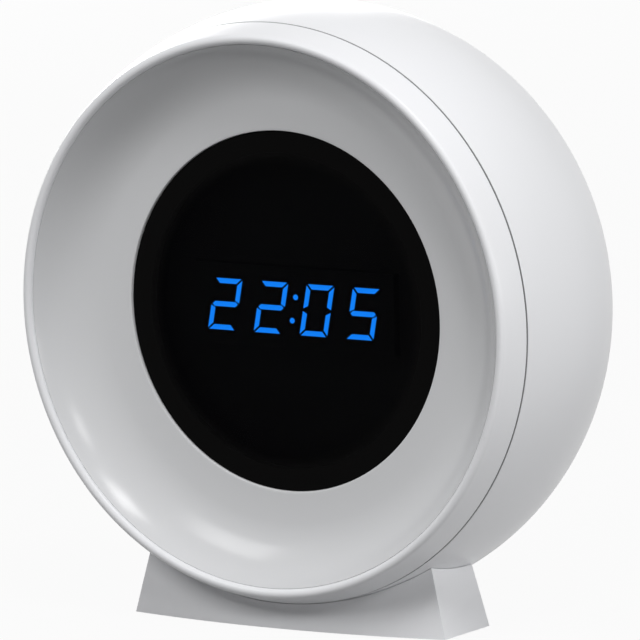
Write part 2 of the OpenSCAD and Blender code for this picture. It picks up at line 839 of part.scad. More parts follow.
// Flat round back with the openings for the controls, the posts of the control board and the cell pocket
module rear_panel() {
    color(white_plastic)
        in_ball()
            difference() {
                union() {
                    translate([0, 0, panel_d])
                        cylinder(r = panel_r, h = panel_t);
                    post_places()
                        translate([0, 0, control_d])
                            cylinder(r = post_r, h = post_h + panel_t / 2);
                    place(door_x, door_rise, lug_d - door_gap)
                        cylinder(r = pocket_r + pocket_wall, h = panel_d - lug_d + door_gap + panel_t / 2);
                }
                panel_corners() {
                    cylinder(r = screw_r + screw_gap, h = far);
                    translate([0, 0, panel_face_d - panel_sink])
                        cylinder(r = screw_head_r + screw_gap, h = far);
                }
                post_places()
                    translate([0, 0, control_d - 1])
                        cylinder(r = screw_r + thread_gap, h = screw_bite + 1);
                button_places()
                    cylinder(r = button_r + button_gap, h = far);
                place(slide_x + slide_travel / 2, slide_rise, panel_d)
                    cube([knob_slot_l, knob_w + 2 * slide_gap, 3 * panel_t], center = true);
                place(buzzer_x, buzzer_rise, 0) {
                    cylinder(r = sound_r, h = far);
                    ring_of(6, sound_pitch, 0)
                        cylinder(r = sound_r, h = far);
                }
                place(0, inlet_rise, 0)
                    linear_extrude(far)
                        stadium(inlet_w + 2 * inlet_gap, inlet_h + 2 * inlet_gap);
                place(door_x, door_rise, 0) {
                    translate([0, 0, door_seat_d])
                        cylinder(r = door_r + door_gap, h = far);
                    cylinder(r = spigot_door_r + door_gap, h = far);
                    cylinder(r = pocket_r, h = door_ring_d);
                    for (turn = [0, 180])
                        rotate(turn + 90 + door_turn)
                            sector(notch_r, lug_span + lug_play, far);
                }
            }
}

// Cap that goes through the panel, with a flange behind it and a stem to its switch
module push_button(i) {
    in_ball()
        place((i - 1.5) * button_pitch, button_rise, 0) {
            translate([0, 0, flange_d])
                cylinder(r = button_r + button_flange, h = button_flange_t);
            translate([0, 0, flange_d])
                cylinder(r = button_r, h = cap_d - button_chamfer - flange_d);
            translate([0, 0, cap_d - button_chamfer])
                cylinder(r1 = button_r, r2 = button_r - button_chamfer, h = button_chamfer);
            translate([0, 0, stem_d])
                cylinder(r = plunger_r, h = flange_d - stem_d);
        }
}

module set_button() {
    color(stand_plastic)
        push_button(0);
}

module up_button() {
    color(stand_plastic)
        push_button(1);
}

module down_button() {
    color(stand_plastic)
        push_button(2);
}

module light_button() {
    color(stand_plastic)
        push_button(3);
}

// Push switches under the buttons
module push_switches() {
    color(inner_grey)
        in_ball()
            button_places()
                translate([0, 0, control_d]) {
                    translate([-tact_w / 2, -tact_w / 2, 0])
                        cube([tact_w, tact_w, tact_h]);
                    translate([0, 0, tact_h])
                        cylinder(r = plunger_r, h = plunger_h);
                }
}

// Body of the slide switch on the control board
module slide_switch() {
    color(steel)
        in_ball()
            place(slide_x + slide_travel / 2, slide_rise, control_d + slide_body_h / 2)
                cube([knob_plate_l + slide_travel, knob_plate_w, slide_body_h], center = true);
}

// Knob that slides in the panel's slot, on a plate that runs on the switch
module slide_knob() {
    color(module_black)
        in_ball()
            place(slide_x, slide_rise, 0) {
                translate([-knob_w / 2, -knob_w / 2, knob_plate_d])
                    cube([knob_w, knob_w, panel_face_d + knob_proud - knob_plate_d]);
                translate([-knob_plate_l / 2, -knob_plate_w / 2, knob_plate_d])
                    cube([knob_plate_l, knob_plate_w, knob_plate_t]);
                translate([-knob_w / 2, -knob_w / 4, control_d + slide_body_h + slide_gap])
                    cube([knob_w, knob_w / 2, knob_plate_d - control_d - slide_body_h - slide_gap]);
            }
}

// Round board behind the rear panel
module control_board() {
    color(board_green)
        in_ball()
            difference() {
                translate([0, 0, control_d - board_t])
                    cylinder(r = control_r, h = board_t);
                post_places()
                    translate([0, 0, control_d - board_t - 1])
                        cylinder(r = screw_r + screw_gap, h = board_t + 2);
            }
}

// Alarm buzzer with its sound hole
module buzzer() {
    color(module_black)
        in_ball()
            place(buzzer_x, buzzer_rise, control_d)
                difference() {
                    cylinder(r = buzzer_r, h = post_h - buzzer_gap);
                    translate([0, 0, post_h - buzzer_gap - 1])
                        cylinder(r = sound_r * 2, h = 2);
                }
}

// Power inlet: a metal shell with a contact tongue, open to the rear
module power_inlet() {
    color(steel)
        in_ball()
            place(0, inlet_rise, control_d) {
                difference() {
                    linear_extrude(panel_face_d - inlet_step - control_d)
                        stadium(inlet_w, inlet_h);
                    translate([0, 0, inlet_wall + 1])
                        linear_extrude(far)
                            stadium(inlet_w - 2 * inlet_wall, inlet_h - 2 * inlet_wall);
                }
                translate([-inlet_w / 2 + 1.2, -tongue_t / 2, 1])
                    cube([inlet_w - 2.4, tongue_t, panel_face_d - inlet_step - control_d - 2]);
            }
}

// Cup on the control board that holds the coin cell
module cell_holder() {
    color(inner_grey)
        in_ball()
            place(door_x, door_rise, control_d)
                difference() {
                    cylinder(r = spigot_door_r + door_gap, h = cup_base_t + cell_t / 2);
                    translate([0, 0, cup_base_t])
                        cylinder(r = cell_r + cup_gap, h = far);
                }
}

// Backup coin cell
module coin_cell() {
    color(steel)
        in_ball()
            place(door_x, door_rise, control_d + cup_base_t)
                cylinder(r = cell_r, h = cell_t);
}

// Round door with a coin slot and two bayonet lugs
module cell_door() {
    color(white_plastic)
        in_ball()
            place(door_x, door_rise, 0) {
                difference() {
                    translate([0, 0, door_seat_d + door_step])
                        cylinder(r = door_r, h = panel_t - 2 * door_step);
                    translate([0, 0, panel_face_d])
                        cube([coin_slot_l, coin_slot_w, 2 * coin_slot_t], center = true);
                }
                translate([0, 0, lug_d])
                    cylinder(r = spigot_door_r, h = door_seat_d + door_step - lug_d);
                for (turn = [0, 180])
                    rotate(turn + 90)
                        translate([0, 0, lug_d])
                            sector(lug_r, lug_span, lug_t);
            }
}

module foot_places() {
    for (side = [-1, 1]) {
        translate([side * front_foot_x, front_foot_d - body_depth / 2, 0])
            children();
        translate([side * rear_foot_x, rear_foot_d - body_depth / 2, 0])
            children();
    }
}

module stand_screw_places() {
    for (side = [-1, 1])
        translate([side * stand_screw_x, stand_screw_d - body_depth / 2, foot_proud])
            children();
}

// Space behind a leaning, bulging face: its widest point is at depth d, and side tells which way it faces
module bowed_face(d, side) {
    translate([0, d - body_depth / 2, foot_proud])
        rotate([side * stand_face_lean, 0, 0])
            translate([0, -side * bow_r, -far])
                cylinder(r = bow_r, h = 2 * far, $fn = 360);
}

// Low block with leaning, slightly bulging faces, hollowed to the shape of the ball
module stand() {
    color(stand_plastic)
        difference() {
            intersection() {
                translate([0, far, foot_proud])
                    rotate([90, 0, 0])
                        linear_extrude(2 * far)
                            polygon([[-stand_half_w, 0], [stand_half_w, 0],
                                     [stand_half_w - stand_top * tan(stand_end_lean), stand_top],
                                     [stand_top * tan(stand_end_lean) - stand_half_w, stand_top]]);
                bowed_face(stand_front_d - stand_bow, -1);
                bowed_face(stand_back_d + stand_bow, 1);
            }
            in_ball()
                rotate_extrude()
                    ball_section(-saddle_gap);
            foot_places()
                cylinder(r = foot_r, h = foot_t);
            stand_screw_places() {
                cylinder(r = screw_r + screw_gap, h = far);
                translate([0, 0, -1])
                    cylinder(r = screw_head_r + screw_gap, h = stand_sink + 1);
            }
        }
}

// Rubber pads in the underside of the stand
module foot_pads() {
    color(rubber_grey)
        foot_places()
            cylinder(r = foot_r, h = foot_t);
}

// Screws that clamp housing, frame and bezel together
module frame_screws() {
    color(steel)
        in_ball()
            frame_corners()
                translate([0, 0, frame_back_d + boss_len])
                    mirror([0, 0, 1])
                        screw(boss_len + frame_t + screw_bite - 0.4);
}

// Screws of the rear panel
module panel_screws() {
    color(steel)
        in_ball()
            panel_corners()
                translate([0, 0, panel_face_d - panel_sink])
                    mirror([0, 0, 1])
                        screw(panel_t - panel_sink + screw_bite);
}

// Screws of the display board and the control board
module board_screws() {
    color(steel)
        in_ball() {
            standoff_places()
                translate([0, 0, display_board_d + board_t])
                    mirror([0, 0, 1])
                        screw(board_t + standoff_h + frame_t - 1);
            post_places()
                translate([0, 0, control_d - board_t])
                    screw(board_t + screw_bite - 0.6);
        }
}

// Screws that hold the stand to the ball
module stand_screws() {
    color(steel)
        stand_screw_places()
            translate([0, 0, stand_sink])
                screw(ball_clear + stand_boss_top - foot_proud - stand_sink - 2.6);
}

front_bezel();
light_bowl();
display_lens();
display_module();
lit_segments();
dark_segments();
display_board();
mid_frame();
light_ring_board();
ring_lamps();
ribbon_sockets();
ribbon_cable();
rear_housing();
rear_panel();
set_button();
up_button();
down_button();
light_button();
push_switches();
slide_switch();
slide_knob();
control_board();
buzzer();
power_inlet();
cell_holder();
coin_cell();
cell_door();
stand();
foot_pads();
frame_screws();
panel_screws();
board_screws();
stand_screws();
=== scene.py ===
import bpy
from math import asin, cos, degrees, pi, radians, sin, sqrt, tan
from mathutils import Matrix, Vector


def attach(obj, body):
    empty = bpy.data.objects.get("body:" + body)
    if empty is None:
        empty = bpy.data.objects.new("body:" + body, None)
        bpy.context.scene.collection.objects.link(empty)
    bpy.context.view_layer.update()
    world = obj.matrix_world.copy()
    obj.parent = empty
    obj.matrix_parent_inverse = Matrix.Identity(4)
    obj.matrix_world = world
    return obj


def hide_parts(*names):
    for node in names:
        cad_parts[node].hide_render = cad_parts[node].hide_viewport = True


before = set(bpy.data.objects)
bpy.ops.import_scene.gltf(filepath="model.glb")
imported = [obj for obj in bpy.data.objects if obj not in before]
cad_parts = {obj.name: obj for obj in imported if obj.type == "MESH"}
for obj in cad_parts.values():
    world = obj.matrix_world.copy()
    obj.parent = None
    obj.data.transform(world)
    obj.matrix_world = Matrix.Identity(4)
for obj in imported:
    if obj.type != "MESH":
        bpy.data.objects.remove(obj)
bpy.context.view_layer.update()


# Front bezel: the rounded white lip and the band in front of the seam, with the spigot that goes into
# the rear housing and the ledge that carries the dish. Injection-moulded ABS, polished, held by four
# screws from inside.
ball_r = 60.0
wall = 2.0
equator_d = 22.6
axis_h = 62.9
front_y = -25.0
weld_gap = 1e-6
smooth_angle = 28


def draw(name, points):
    """Draws a chain of edges through points, in millimetres, and leaves it selected in edit mode."""
    bpy.ops.object.select_all(action="DESELECT")
    bpy.ops.mesh.primitive_plane_add(size=0.001)
    piece = bpy.context.object
    piece.name = name
    piece.data.name = name
    bpy.ops.object.mode_set(mode="EDIT")
    bpy.ops.mesh.select_all(action="SELECT")
    bpy.ops.mesh.merge(type="CENTER")
    chain = [Vector(p) / 1000 for p in points]
    bpy.ops.transform.translate(value=chain[0])
    for a, b in zip(chain, chain[1:]):
        bpy.ops.mesh.extrude_region_move(TRANSFORM_OT_translate={"value": b - a})
    bpy.ops.mesh.select_all(action="SELECT")
    bpy.ops.mesh.remove_doubles(threshold=weld_gap)
    return piece


def close_mesh():
    """Welds what is in edit mode, turns its faces outwards and smooths its flatter edges."""
    bpy.ops.mesh.select_all(action="SELECT")
    bpy.ops.mesh.remove_doubles(threshold=weld_gap)
    bpy.ops.mesh.normals_make_consistent(inside=False)
    bpy.ops.object.mode_set(mode="OBJECT")
    bpy.ops.object.shade_smooth_by_angle(angle=radians(smooth_angle))


def turned(name, outline, foot=(0, front_y, axis_h), axis=(0, 1, 0), steps=256):
    """Spins an outline of (radius, depth) points, in millimetres, round an axis through foot."""
    piece = draw(name, [Vector(foot) + Vector((r, 0, 0)) + d * Vector(axis) for r, d in outline])
    bpy.ops.mesh.spin(steps=steps, angle=2 * pi, center=Vector(foot) / 1000, axis=axis)
    close_mesh()
    return piece


def arc(centre, radius, start, end, count):
    """Points of a section arc; the angle runs from the radial direction towards the rear."""
    turns = [radians(start + (end - start) * i / count) for i in range(count + 1)]
    return [(centre[0] + radius * cos(t), centre[1] + radius * sin(t)) for t in turns]


def eased(corner, across, along, count=2):
    """Points of a quarter-oval rounding of a section's corner, from its flat side to its round side."""
    turns = [pi / 2 * i / count for i in range(count + 1)]
    return [(corner[0] - across * (1 - sin(t)), corner[1] + along * (1 - cos(t))) for t in turns]


class Wire:
    """A socket of a material's node tree; sums on it add Math nodes."""

    def __init__(self, tree, socket=None):
        self.tree = tree
        self.socket = socket

    def node(self, kind, settings, sockets, out=0):
        made = self.tree.nodes.new(kind)
        for name, value in settings.items():
            setattr(made, name, value)
        for name, value in sockets.items():
            if isinstance(value, Wire):
                self.tree.links.new(value.socket, made.inputs[name])
            else:
                made.inputs[name].default_value = value
        return Wire(self.tree, made.outputs[out])

    def sum(self, operation, a, b):
        return self.node("ShaderNodeMath", {"operation": operation}, {0: a, 1: b})

    def __add__(self, other):
        return self.sum("ADD", self, other)

    def __radd__(self, other):
        return self.sum("ADD", other, self)

    def __mul__(self, other):
        return self.sum("MULTIPLY", self, other)

    def __rmul__(self, other):
        return self.sum("MULTIPLY", other, self)

    def __gt__(self, other):
        return self.sum("GREATER_THAN", self, other)

    def __lt__(self, other):
        return self.sum("LESS_THAN", self, other)


def material(name):
    """An empty material: its wire, its shader's sockets and its object coordinates."""
    made = bpy.data.materials.new(name)
    made.use_nodes = True
    wire = Wire(made.node_tree)
    sockets = made.node_tree.nodes["Principled BSDF"].inputs
    place = wire.node("ShaderNodeTexCoord", {}, {}, "Object")
    return made, wire, sockets, place


def feed(wire, value, socket):
    wire.tree.links.new(value.socket, socket)


def noise(wire, place, scale, detail=2.0):
    return wire.node("ShaderNodeTexNoise", {}, {"Vector": place, "Scale": scale, "Detail": detail})


def graded(wire, value, low, high):
    """Nought up to a low value, one from a high value on, and an even rise between them."""
    return wire.node("ShaderNodeMapRange", {}, {"Value": value, 1: low, 2: high})


def blend_of(wire, factor, a, b):
    """Mixes two colours, each a wire or three numbers."""
    a, b = [c if isinstance(c, Wire) else (*c, 1) for c in (a, b)]
    return wire.node("ShaderNodeMix", {"data_type": "RGBA"}, {0: factor, 6: a, 7: b}, 2)


def moulded(name, colour, rough, grain, gloss=0.5):
    """Moulded plastic: faint flow clouds, uneven polish, a fine skin and edges that handling has rubbed."""
    made, wire, sockets, place = material(name)
    flow = noise(wire, place, scale=22.0, detail=3.0)
    polish = noise(wire, place, scale=140.0, detail=3.0)
    skin = noise(wire, place, scale=2600.0)
    edge = wire.node("ShaderNodeNewGeometry", {}, {}, "Pointiness")
    rubbed = graded(wire, edge, low=0.53, high=0.62)
    dim, bright, bare = [[min(c * shade, 1.0) for c in colour] for shade in (0.975, 1.015, 1.05)]
    tint = blend_of(wire, flow, dim, bright)
    feed(wire, blend_of(wire, rubbed * 0.25, tint, bare), sockets["Base Color"])
    feed(wire, polish * 0.08 + rubbed * 0.06 + (rough - 0.04), sockets["Roughness"])
    bump = wire.node("ShaderNodeBump", {}, {"Strength": grain, "Distance": 0.00002, "Height": skin})
    feed(wire, bump, sockets["Normal"])
    sockets["Specular IOR Level"].default_value = gloss
    return made


def fit(piece, finish, body, slot, *nodes):
    """Gives a piece its finish and its body, and says which solids it stands for."""
    piece.data.materials.clear()
    piece.data.materials.append(finish)
    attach(piece, body)
    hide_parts(*nodes)


def sphere_r(d, radius=ball_r):
    """Radius of the front of the ball, or of its inner wall, at a depth behind the lip."""
    return sqrt(radius ** 2 - (equator_d - d) ** 2)


seam_d = 6.1
seam_gap = 0.35
seam_front_d = seam_d - seam_gap / 2
seam_rear_d = seam_d + seam_gap / 2
polished_white = moulded("polished_white", (0.84, 0.845, 0.865), rough=0.3, grain=0.10, gloss=0.2)
# Painted shade: the shell's colour turns grey in a narrow band round the seam between bezel and housing,
# standing in for the shade inside the groove.
seam_painted_shade = (0.28, 0.28, 0.285)
shade_reach = 0.015
shell_wire = Wire(polished_white.node_tree)
shell_colour = polished_white.node_tree.nodes["Principled BSDF"].inputs["Base Color"]
shell_unshaded = Wire(shell_wire.tree, shell_colour.links[0].from_socket)
shell_place = shell_wire.node("ShaderNodeTexCoord", {}, {}, "Object")
shell_y = shell_wire.node("ShaderNodeSeparateXYZ", {}, {0: shell_place}, "Y")
behind_bezel = shell_y > (front_y + seam_front_d - shade_reach) / 1000
before_ball = shell_y < (front_y + seam_rear_d + shade_reach) / 1000
seam_shaded = blend_of(shell_wire, behind_bezel * before_ball * 0.85, shell_unshaded, seam_painted_shade)
feed(shell_wire, seam_shaded, shell_colour)

lip_r = 1.05
lip_c = sqrt((ball_r - lip_r) ** 2 - (equator_d - lip_r) ** 2)
lip_slope = degrees(asin((equator_d - lip_r) / (ball_r - lip_r)))
lip_in_r = lip_c - lip_r
edge_along = 0.125
band_edge_r, band_edge_across = sphere_r(seam_front_d - edge_along), 0.16
band_margin, band_step, band_count = 0.2, 0.35, 15
band_depths = [seam_front_d - band_margin - band_step * i for i in range(band_count)]
seat_step, seat_w, seat_t = 0.01, 1.92, 1.8
dish_seat_r, dish_seat_d = lip_in_r + seat_step, 1.3
dish_skirt_r, dish_back_d = dish_seat_r - seat_w, 6.6
seat_ledge_d = dish_back_d + seat_t
spigot_gap, spigot_end_d = 0.2, 14.2
spigot_in_r = dish_seat_r + seat_step
spigot_out_r = sphere_r(seam_rear_d, ball_r - wall) - spigot_gap
bezel_outline = [
    (spigot_out_r, seam_front_d),
    *eased((band_edge_r, seam_front_d), band_edge_across, -edge_along),
    *[(sphere_r(d), d) for d in band_depths],
    *arc((lip_c, lip_r), lip_r, -lip_slope, -180, 28),
    (dish_seat_r, dish_seat_d), (dish_seat_r, dish_back_d),
    (dish_skirt_r, dish_back_d), (dish_skirt_r, seat_ledge_d),
    (spigot_in_r, seat_ledge_d), (spigot_in_r, spigot_end_d),
    (spigot_out_r, spigot_end_d), (spigot_out_r, seam_front_d)]
front_bezel = turned("bezel_ring", bezel_outline, steps=320)
fit(front_bezel, polished_white, "clock", "shell_white", "front_bezel")


# Light bowl: the concave white dish round the display, which the lamps behind it light through.
# Moulded in translucent white plastic with a satin polish, dropped into the bezel from the rear, with
# a collar and a ledge for the lens.
milky_white = moulded("milky_white", (0.67, 0.675, 0.687), rough=0.2, grain=0.08, gloss=0.2)
collar_r = 35.812
dish_w = 17.9
dish_wall = 1.8
dish_rim_d, dish_edge_d = 0.9, 9.15
inner_slope, mid_slope, outer_slope = 2, 7, 60
crease = 1
lens_d, lens_t = 9.6, 2.0
lens_back_d = lens_d + lens_t
collar_round = 0.21
collar_t = 1.2
lens_ledge_w, lens_ledge_t = 2.2, 1.2
dish_gap, rim_drop = 0.03, 0.05
slope_margin, crease_margin = 0.4, 0.2


def slope_step(start, end):
    """Radial run and rise to the front of an arc of unit radius between two slopes."""
    return sin(radians(end)) - sin(radians(start)), cos(radians(start)) - cos(radians(end))


def slope_arc(centre, radius, start, end, count):
    """Points of a concave arc between two slopes, measured from the display's plane."""
    slopes = [radians(start + (end - start) * i / count) for i in range(count + 1)]
    return [(centre[0] + radius * sin(t), centre[1] + radius * cos(t)) for t in slopes]


def slope_at(r, centre, radius):
    return degrees(asin((r - centre[0]) / radius))


inner_run, inner_rise = slope_step(inner_slope, mid_slope)
edge_run, edge_rise = slope_step(mid_slope + crease, outer_slope)
dish_rise = dish_edge_d - dish_rim_d
determinant = inner_run * edge_rise - edge_run * inner_rise
inner_radius = (dish_w * edge_rise - edge_run * dish_rise) / determinant
edge_radius = (inner_run * dish_rise - inner_rise * dish_w) / determinant
inner_centre = (collar_r - inner_radius * sin(radians(inner_slope)),
                dish_edge_d - inner_radius * cos(radians(inner_slope)))
edge_centre = (collar_r + dish_w - edge_radius * sin(radians(outer_slope)),
               dish_rim_d - edge_radius * cos(radians(outer_slope)))
inner_back, edge_back = inner_radius + dish_wall, edge_radius + dish_wall
skirt_slope = slope_at(dish_skirt_r, edge_centre, edge_back)
collar_slope = slope_at(collar_r + collar_t, inner_centre, inner_back)
ledge_r, ledge_d = collar_r - lens_ledge_w, lens_back_d + lens_ledge_t
dish_rim_r = dish_seat_r - dish_gap
bowl_outline = [
    (collar_r, lens_back_d),
    *arc((collar_r + collar_round, dish_edge_d + collar_round), collar_round, 180, 270, 2),
    *slope_arc(inner_centre, inner_radius, inner_slope + slope_margin, mid_slope - crease_margin, 10),
    *slope_arc(edge_centre, edge_radius, mid_slope + crease + slope_margin, outer_slope, 40),
    (dish_rim_r, dish_rim_d + rim_drop), (dish_rim_r, dish_back_d), (dish_skirt_r, dish_back_d),
    *slope_arc(edge_centre, edge_back, skirt_slope, mid_slope + 2 * crease, 12),
    *slope_arc(inner_centre, inner_back, mid_slope, collar_slope, 4),
    (collar_r + collar_t, ledge_d), (ledge_r, ledge_d), (ledge_r, lens_back_d), (collar_r, lens_back_d)]
light_bowl = turned("dish_bowl", bowl_outline, steps=320)
fit(light_bowl, milky_white, "clock", "dish_white", "light_bowl")


# Display lens: a round window of smoked acrylic, clear enough for the lit numerals and dark for the
# rest, with a black printed border. Cut, rounded at the edge, polished and glued on the dish's ledge.
smoked_acrylic, lens_wire, lens_sockets, lens_place = material("smoked_acrylic")
smoke_alpha = 0.6
border_start, border_full = 28.5, 31.5
smear = noise(lens_wire, lens_place, scale=60.0, detail=4.0)
flat_place = lens_wire.node("ShaderNodeMapping", {}, {"Vector": lens_place, "Scale": (1.0, 0.0, 1.0)})
from_middle = lens_wire.node("ShaderNodeVectorMath", {"operation": "DISTANCE"},
                             {0: flat_place, 1: (0, 0, axis_h / 1000)}, "Value")
border = graded(lens_wire, from_middle, border_start / 1000, border_full / 1000)
smoke_tint, border_tint = (0.0006, 0.0006, 0.0010), (0.0034, 0.0033, 0.0033)
lens_tint = blend_of(lens_wire, border * 0.9 + smear * 0.1, smoke_tint, border_tint)
feed(lens_wire, lens_tint, lens_sockets["Base Color"])
feed(lens_wire, smear * 0.06 + 0.05, lens_sockets["Roughness"])
feed(lens_wire, border * (1 - smoke_alpha) + smoke_alpha, lens_sockets["Alpha"])
lens_sockets["IOR"].default_value = 1.49
lens_sockets["Specular IOR Level"].default_value = 0.018
lens_gap, lens_round, flat_margin = 0.1, 0.25, 0.06
lens_r = collar_r - lens_gap
lens_outline = [
    (0, lens_d), (lens_r - lens_round - flat_margin, lens_d),
    *arc((lens_r - lens_round, lens_d + lens_round), lens_round, -90, 0, 5),
    (lens_r, lens_back_d), (0, lens_back_d)]
display_lens = turned("smoked_lens", lens_outline, steps=320)
fit(display_lens, smoked_acrylic, "clock", "lens_smoke", "display_lens")


# Numerals: light guides of blue seven-segment digits in wells of a black block, with the unlit guides
# beside them. Moulded, and the block is soldered to the display board.
def dress(finish, *nodes):
    """Gives solids that keep their own shape a finish."""
    for name in nodes:
        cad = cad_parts[name]
        cad.data.materials.clear()
        cad.data.materials.append(finish)


lit_guide, lit_wire, lit_sockets, lit_place = material("lit_guide")
glow = noise(lit_wire, lit_place, scale=260.0)
lit_colour = blend_of(lit_wire, glow, (0.0045, 0.21, 0.95), (0.006, 0.24, 1.0))
feed(lit_wire, lit_colour, lit_sockets["Emission Color"])
feed(lit_wire, blend_of(lit_wire, glow, (0.02, 0.2, 0.7), (0.03, 0.24, 0.8)), lit_sockets["Base Color"])
feed(lit_wire, glow * 0.1 + 0.35, lit_sockets["Roughness"])
lit_sockets["Emission Strength"].default_value = 5.6
dress(lit_guide, "lit_segments")
matt_black = moulded("matt_black", (0.006, 0.006, 0.007), rough=0.55, grain=0.25, gloss=0.3)
dress(matt_black, "display_module", "dark_segments", "buzzer")


# Inner plate and boards: a black anodised plate clamped between bezel and housing, green glass-fibre
# boards with a faint weave, white lamps, the ribbon cable with its sockets, the switches, the backup
# cell and the plated steel screws between them.
black_anodised = moulded("black_anodised", (0.012, 0.012, 0.013), rough=0.5, grain=0.2, gloss=0.3)
dress(black_anodised, "mid_frame")
glass_fibre, board_wire, board_sockets, board_place = material("glass_fibre")
weave = board_wire.node("ShaderNodeTexWave", {"wave_profile": "TRI"},
                        {"Vector": board_place, "Scale": 420.0, "Distortion": 0.6})
board_green = blend_of(board_wire, weave, (0.008, 0.075, 0.035), (0.012, 0.10, 0.05))
feed(board_wire, board_green, board_sockets["Base Color"])
feed(board_wire, weave * 0.1 + 0.32, board_sockets["Roughness"])
dress(glass_fibre, "display_board", "light_ring_board", "control_board")
lamp_phosphor = moulded("lamp_phosphor", (0.85, 0.82, 0.6), rough=0.4, grain=0.1)
dress(lamp_phosphor, "ring_lamps")
socket_nylon = moulded("socket_nylon", (0.8, 0.76, 0.62), rough=0.45, grain=0.2)
dress(socket_nylon, "ribbon_sockets")
ribbon_vinyl = moulded("ribbon_vinyl", (0.5, 0.51, 0.52), rough=0.5, grain=0.2)
dress(ribbon_vinyl, "ribbon_cable")
switch_grey = moulded("switch_grey", (0.1, 0.1, 0.11), rough=0.5, grain=0.2)
dress(switch_grey, "push_switches", "cell_holder")


def metal(name, colour, rough, drawn_out=1.0):
    """Plated metal: fine lines in the gloss, drawn out along the height, and a cloudy tint."""
    made, wire, sockets, place = material(name)
    spread = wire.node("ShaderNodeMapping", {}, {"Vector": place, "Scale": (1.0, 1.0, drawn_out)})
    lines = noise(wire, spread, scale=900.0)
    cloud = noise(wire, place, scale=90.0)
    feed(wire, blend_of(wire, cloud, [c * 0.92 for c in colour], colour), sockets["Base Color"])
    feed(wire, lines * 0.14 + (rough - 0.07), sockets["Roughness"])
    bump = wire.node("ShaderNodeBump", {}, {"Strength": 0.1, "Distance": 0.00001, "Height": lines})
    feed(wire, bump, sockets["Normal"])
    sockets["Metallic"].default_value = 1.0
    return made


plated_steel = metal("plated_steel", (0.55, 0.55, 0.56), rough=0.33)
cell_nickel = metal("cell_nickel", (0.62, 0.62, 0.63), rough=0.28)
drawn_shell = metal("drawn_shell", (0.58, 0.585, 0.6), rough=0.25, drawn_out=0.15)
dress(plated_steel, "frame_screws", "board_screws")
dress(cell_nickel, "coin_cell")
dress(drawn_shell, "slide_switch")


# Rear housing: the ball behind the seam, a thin white shell with a rounded rear rim and a ledge for the
# panel. Injection-moulded and polished as the bezel is, and clamped to it by the inner screws.
body_depth = 50.0
shoulder_r = 43.0
shoulder_c = (ball_r - shoulder_r, equator_d)
rim_r = 1.2
rim_d = body_depth - rim_r
rim_slope = degrees(asin((rim_d - equator_d) / (shoulder_r - rim_r)))
rim_c = shoulder_c[0] + (shoulder_r - rim_r) * cos(radians(rim_slope))
hole_edge_across, hole_edge_along = 0.52, 0.4
panel_rim_w, panel_ledge_w, panel_ledge_t = 3.0, 2.4, 1.8
panel_recess, panel_t = 1.0, 2.0
panel_hole_r = rim_c - panel_rim_w
panel_ledge_r = panel_hole_r - panel_ledge_w
panel_face_d = body_depth - panel_recess
panel_d = panel_face_d - panel_t
panel_ledge_d = panel_d - panel_ledge_t
ledge_slope = degrees(asin((panel_ledge_d - equator_d) / (shoulder_r - wall)))
shell_edge_r, shell_edge_across = sphere_r(seam_rear_d + edge_along), 0.21
shell_start_d, front_count, inner_count = 6.5, 20, 16
front_depths = [shell_start_d + (equator_d - shell_start_d) * i / front_count for i in range(front_count)]
inner_depths = [equator_d - i for i in range(1, inner_count + 1)]
seam_floor = (sphere_r(seam_rear_d, ball_r - wall), seam_rear_d)
housing_outline = [
    seam_floor,
    *eased((shell_edge_r, seam_rear_d), shell_edge_across, edge_along),
    *[(sphere_r(d), d) for d in front_depths],
    *arc(shoulder_c, shoulder_r, 0, rim_slope, 64),
    *arc((rim_c, rim_d), rim_r, rim_slope, 90, 10),
    *eased((panel_hole_r, body_depth), -hole_edge_across, -hole_edge_along, 3),
    (panel_hole_r, panel_d), (panel_ledge_r, panel_d), (panel_ledge_r, panel_ledge_d),
    *arc(shoulder_c, shoulder_r - wall, ledge_slope, 0, 24),
    *[(sphere_r(d, ball_r - wall), d) for d in inner_depths],
    seam_floor]
rear_housing = turned("ball_shell", housing_outline, steps=384)
fit(rear_housing, polished_white, "clock", "shell_white", "rear_housing")


# Rear panel: the flat round back with the openings for buttons, switch, sound, door and power inlet.
# Moulded with a fine satin texture, and held by four screws in counterbores.
panel_white = moulded("panel_white", (0.80, 0.805, 0.825), rough=0.42, grain=0.35)
panel_gap, panel_round = 0.18, 0.18
panel_r = panel_hole_r - panel_gap
bore_margin = 1.0
bore_start_d, bore_end_d = panel_d - bore_margin, panel_face_d + bore_margin
bevel_smooth_angle = 50


def cut(piece, *tools):
    """Takes tools out of a piece."""
    for tool in tools:
        bpy.ops.object.select_all(action="DESELECT")
        bpy.context.view_layer.objects.active = piece
        piece.select_set(True)
        cutting = piece.modifiers.new("cut", "BOOLEAN")
        cutting.operation = "DIFFERENCE"
        cutting.solver = "EXACT"
        cutting.object = tool
        bpy.ops.object.modifier_apply(modifier="cut")
        bpy.data.objects.remove(tool)


def soften(piece, width, angle=35):
    """Rounds the edges of a piece that are sharper than an angle, and keeps its flat faces even."""
    bpy.ops.object.select_all(action="DESELECT")
    bpy.context.view_layer.objects.active = piece
    piece.select_set(True)
    rounding = piece.modifiers.new("rounding", "BEVEL")
    rounding.width = width / 1000
    rounding.segments = 2
    rounding.limit_method = "ANGLE"
    rounding.angle_limit = radians(angle)
    bpy.ops.object.modifier_apply(modifier="rounding")
    bpy.ops.object.shade_smooth_by_angle(angle=radians(bevel_smooth_angle))
    even = piece.modifiers.new("even", "WEIGHTED_NORMAL")
    even.keep_sharp = True
    even.weight = 100
    bpy.ops.object.modifier_apply(modifier="even")


def on_panel(x, rise):
    return (x, front_y, axis_h + rise)


def bore(x, rise, radius, steps):
    """A drill through the panel."""
    outline = [(0, bore_start_d), (radius, bore_start_d), (radius, bore_end_d), (0, bore_end_d)]
    return turned("opening", outline, on_panel(x, rise), steps=steps)


